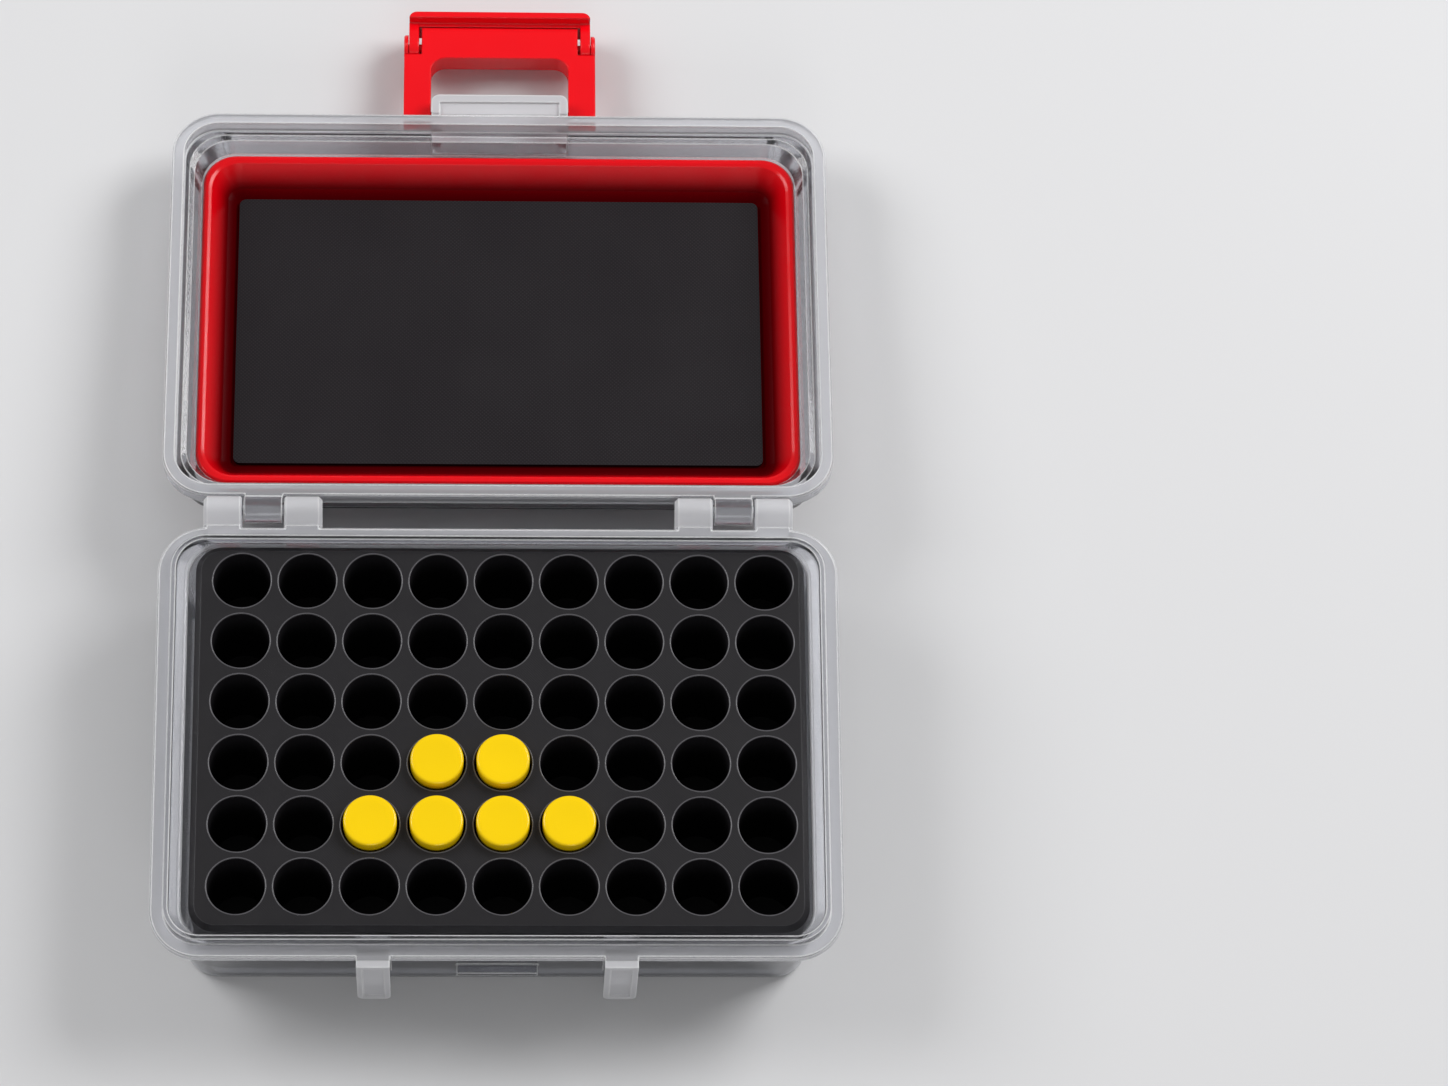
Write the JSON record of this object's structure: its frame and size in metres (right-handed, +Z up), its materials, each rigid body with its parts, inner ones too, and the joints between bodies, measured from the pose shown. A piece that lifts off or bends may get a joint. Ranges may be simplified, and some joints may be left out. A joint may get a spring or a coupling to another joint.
{
  "type": "vial storage box",
  "caption": "Hinged clear storage case, open, with a black well tray holding capped vials, a red lid liner and a red lever latch on the lid.",
  "frame": {"origin": "centre of the case's flat foot", "axes": "+X right along the hinge, +Y back across the hinge toward the open lid, +Z up"},
  "size_m": [0.195, 0.3091, 0.0422],
  "materials": {
    "clear_plastic": "frosted clear moulding",
    "tray_print": "layered print, matt",
    "red_plastic": "glossy",
    "latch_plastic": "glossy",
    "panel_sheet": "fine crossed lines, satin",
    "cap_plastic": "satin",
    "vial_glass": "polished",
    "seal_metal": "satin",
    "stopper_rubber": "matt"
  },
  "bodies": {
    "base": {"base_shell": "clear_plastic", "vial_tray": "tray_print", "vial_1_glass": "vial_glass", "vial_1_stopper": "stopper_rubber", "vial_1_crimp": "seal_metal", "vial_1_cap": "cap_plastic", "vial_2_glass": "vial_glass", "vial_2_stopper": "stopper_rubber", "vial_2_crimp": "seal_metal", "vial_2_cap": "cap_plastic", "vial_3_glass": "vial_glass", "vial_3_stopper": "stopper_rubber", "vial_3_crimp": "seal_metal", "vial_3_cap": "cap_plastic", "vial_4_glass": "vial_glass", "vial_4_stopper": "stopper_rubber", "vial_4_crimp": "seal_metal", "vial_4_cap": "cap_plastic", "vial_5_glass": "vial_glass", "vial_5_stopper": "stopper_rubber", "vial_5_crimp": "seal_metal", "vial_5_cap": "cap_plastic", "vial_6_glass": "vial_glass", "vial_6_stopper": "stopper_rubber", "vial_6_crimp": "seal_metal", "vial_6_cap": "cap_plastic"},
    "lid": {"lid_shell": "clear_plastic", "lid_liner": "red_plastic", "liner_panel": "panel_sheet"},
    "latch": {"latch_frame": "latch_plastic", "latch_pin_left": "latch_plastic", "latch_pin_right": "latch_plastic"},
    "lever": {"latch_lever": "latch_plastic"}
  },
  "joints": [
    {"name": "lid_hinge", "type": "hinge", "parent": "base", "child": "lid", "pos_m": [0, 0.07053, 0.0363], "axis": [1, 0, 0], "range_deg": [0, 185.66]},
    {"name": "latch_pivot", "type": "hinge", "parent": "lid", "child": "latch", "pos_m": [0, 0.20764, 0.01245], "axis": [1, 0, 0], "range_deg": [0, 90]},
    {"name": "lever_pivot", "type": "hinge", "parent": "latch", "child": "lever", "pos_m": [0, 0.23172, 0.01006], "axis": [1, 0, 0], "range_deg": [-45, 0]}
  ]
}
